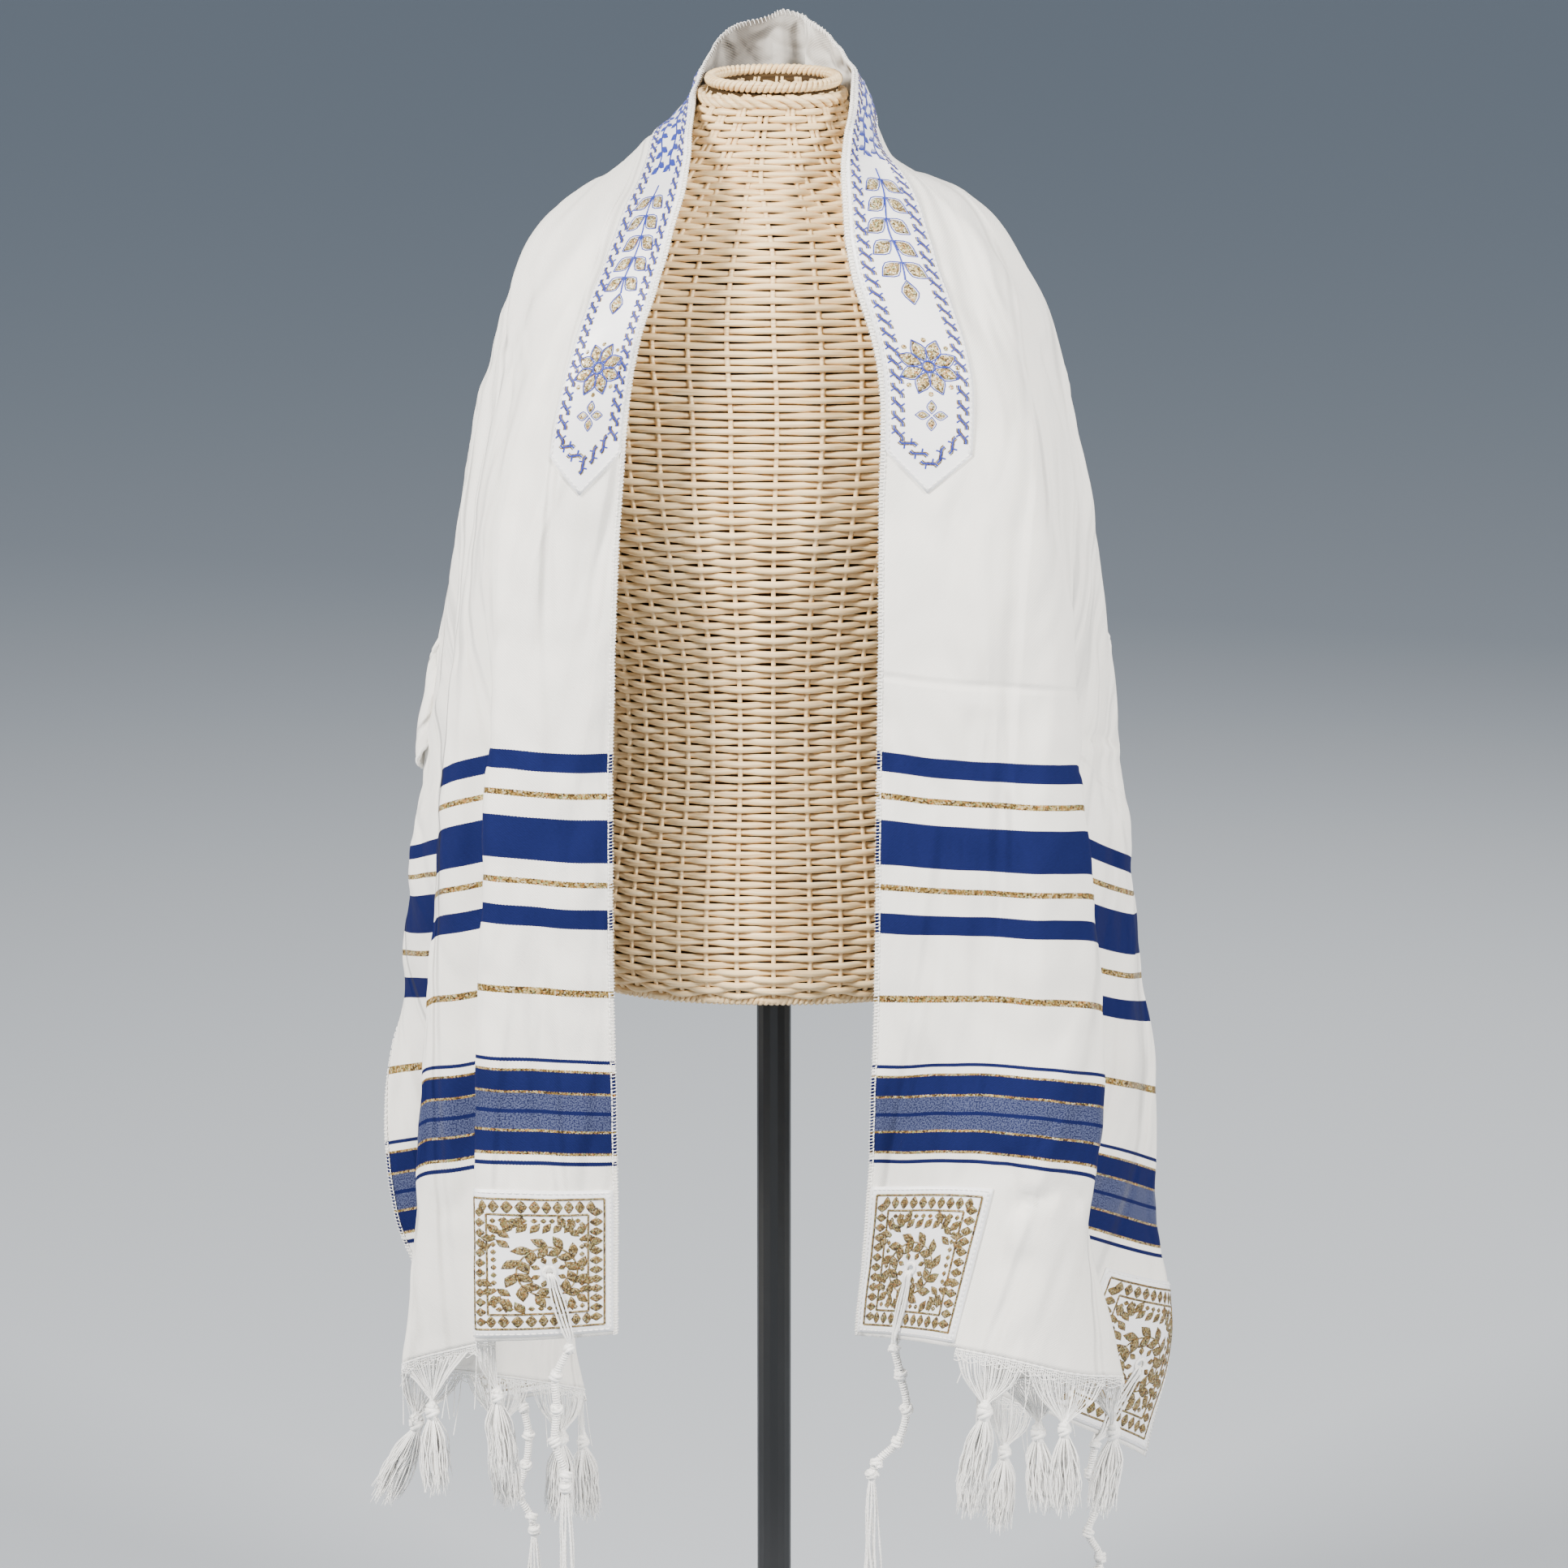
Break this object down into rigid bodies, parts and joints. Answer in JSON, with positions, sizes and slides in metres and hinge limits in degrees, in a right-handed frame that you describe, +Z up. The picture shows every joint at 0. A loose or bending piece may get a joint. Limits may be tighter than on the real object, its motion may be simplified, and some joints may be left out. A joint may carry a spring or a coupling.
{
  "type": "tallit prayer shawl on a dress form",
  "caption": "Striped tallit prayer shawl with neckband, corner patches, knotted corner cords and fringe, draped over a limbless wicker dress form on a round-footed stand.",
  "frame": {"origin": "centre of the stand base's underside, on the floor", "axes": "+Z up the stand; the shawl's open front faces -Y; +X is the viewer's right as seen from the front"},
  "size_m": [0.5228, 0.3342, 1.2711],
  "materials": {
    "woven_cloth": "fine off-white twill with woven blue and gold stripes",
    "satin": "white satin with blue and gold embroidery",
    "cotton": "twisted off-white threads",
    "wicker": "pale peeled rattan",
    "painted_iron": "satin black paint"
  },
  "bodies": {
    "root": {"shawl_cloth": "woven_cloth", "neckband_atarah": "satin", "patch_front_left": "satin", "patch_rear_left": "satin", "patch_front_right": "satin", "patch_rear_right": "satin", "fringe_left": "cotton", "fringe_right": "cotton", "tzitzit_front_left": "cotton", "tzitzit_rear_left": "cotton", "tzitzit_front_right": "cotton", "tzitzit_rear_right": "cotton", "dress_form": "wicker", "stand_pole": "painted_iron", "stand_base": "painted_iron"}
  },
  "joints": []
}
